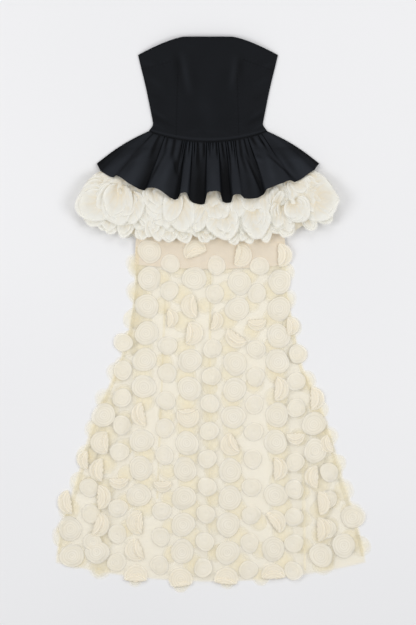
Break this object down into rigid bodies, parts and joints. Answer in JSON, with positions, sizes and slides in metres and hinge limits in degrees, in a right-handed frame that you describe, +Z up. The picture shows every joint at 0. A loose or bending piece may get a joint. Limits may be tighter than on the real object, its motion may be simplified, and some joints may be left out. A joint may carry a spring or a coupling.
{
  "type": "strapless gown",
  "caption": "Strapless gown laid flat, with a darted dark bodice, gathered peplum, petal ruffle tier, short slip and a long sheer skirt covered with round organza discs.",
  "frame": {"origin": "on the surface that the gown lies on, under the middle of its length and width", "axes": "+Y up the gown to the top edge of the bodice, +X to the viewer's right with the front facing up, +Z up from the surface"},
  "size_m": [0.7998, 1.438, 0.0559],
  "materials": {
    "black_cloth": "matte structured twill with a slight sheen",
    "cream_organza": "sheer crisp organza",
    "nude_lining": "smooth thin lining",
    "zip_tape": "woven tape and nylon coil",
    "zip_metal": "painted, half gloss"
  },
  "bodies": {
    "root": {"bodice_front": "black_cloth", "bodice_back_left": "black_cloth", "bodice_back_right": "black_cloth", "back_zip": "zip_tape", "zip_slider": "zip_metal", "peplum_front": "black_cloth", "peplum_back": "black_cloth", "ruffle_front": "cream_organza", "ruffle_back": "cream_organza", "skirt_front": "cream_organza", "skirt_back": "cream_organza", "slip_front": "nude_lining", "slip_back": "nude_lining"}
  },
  "joints": []
}
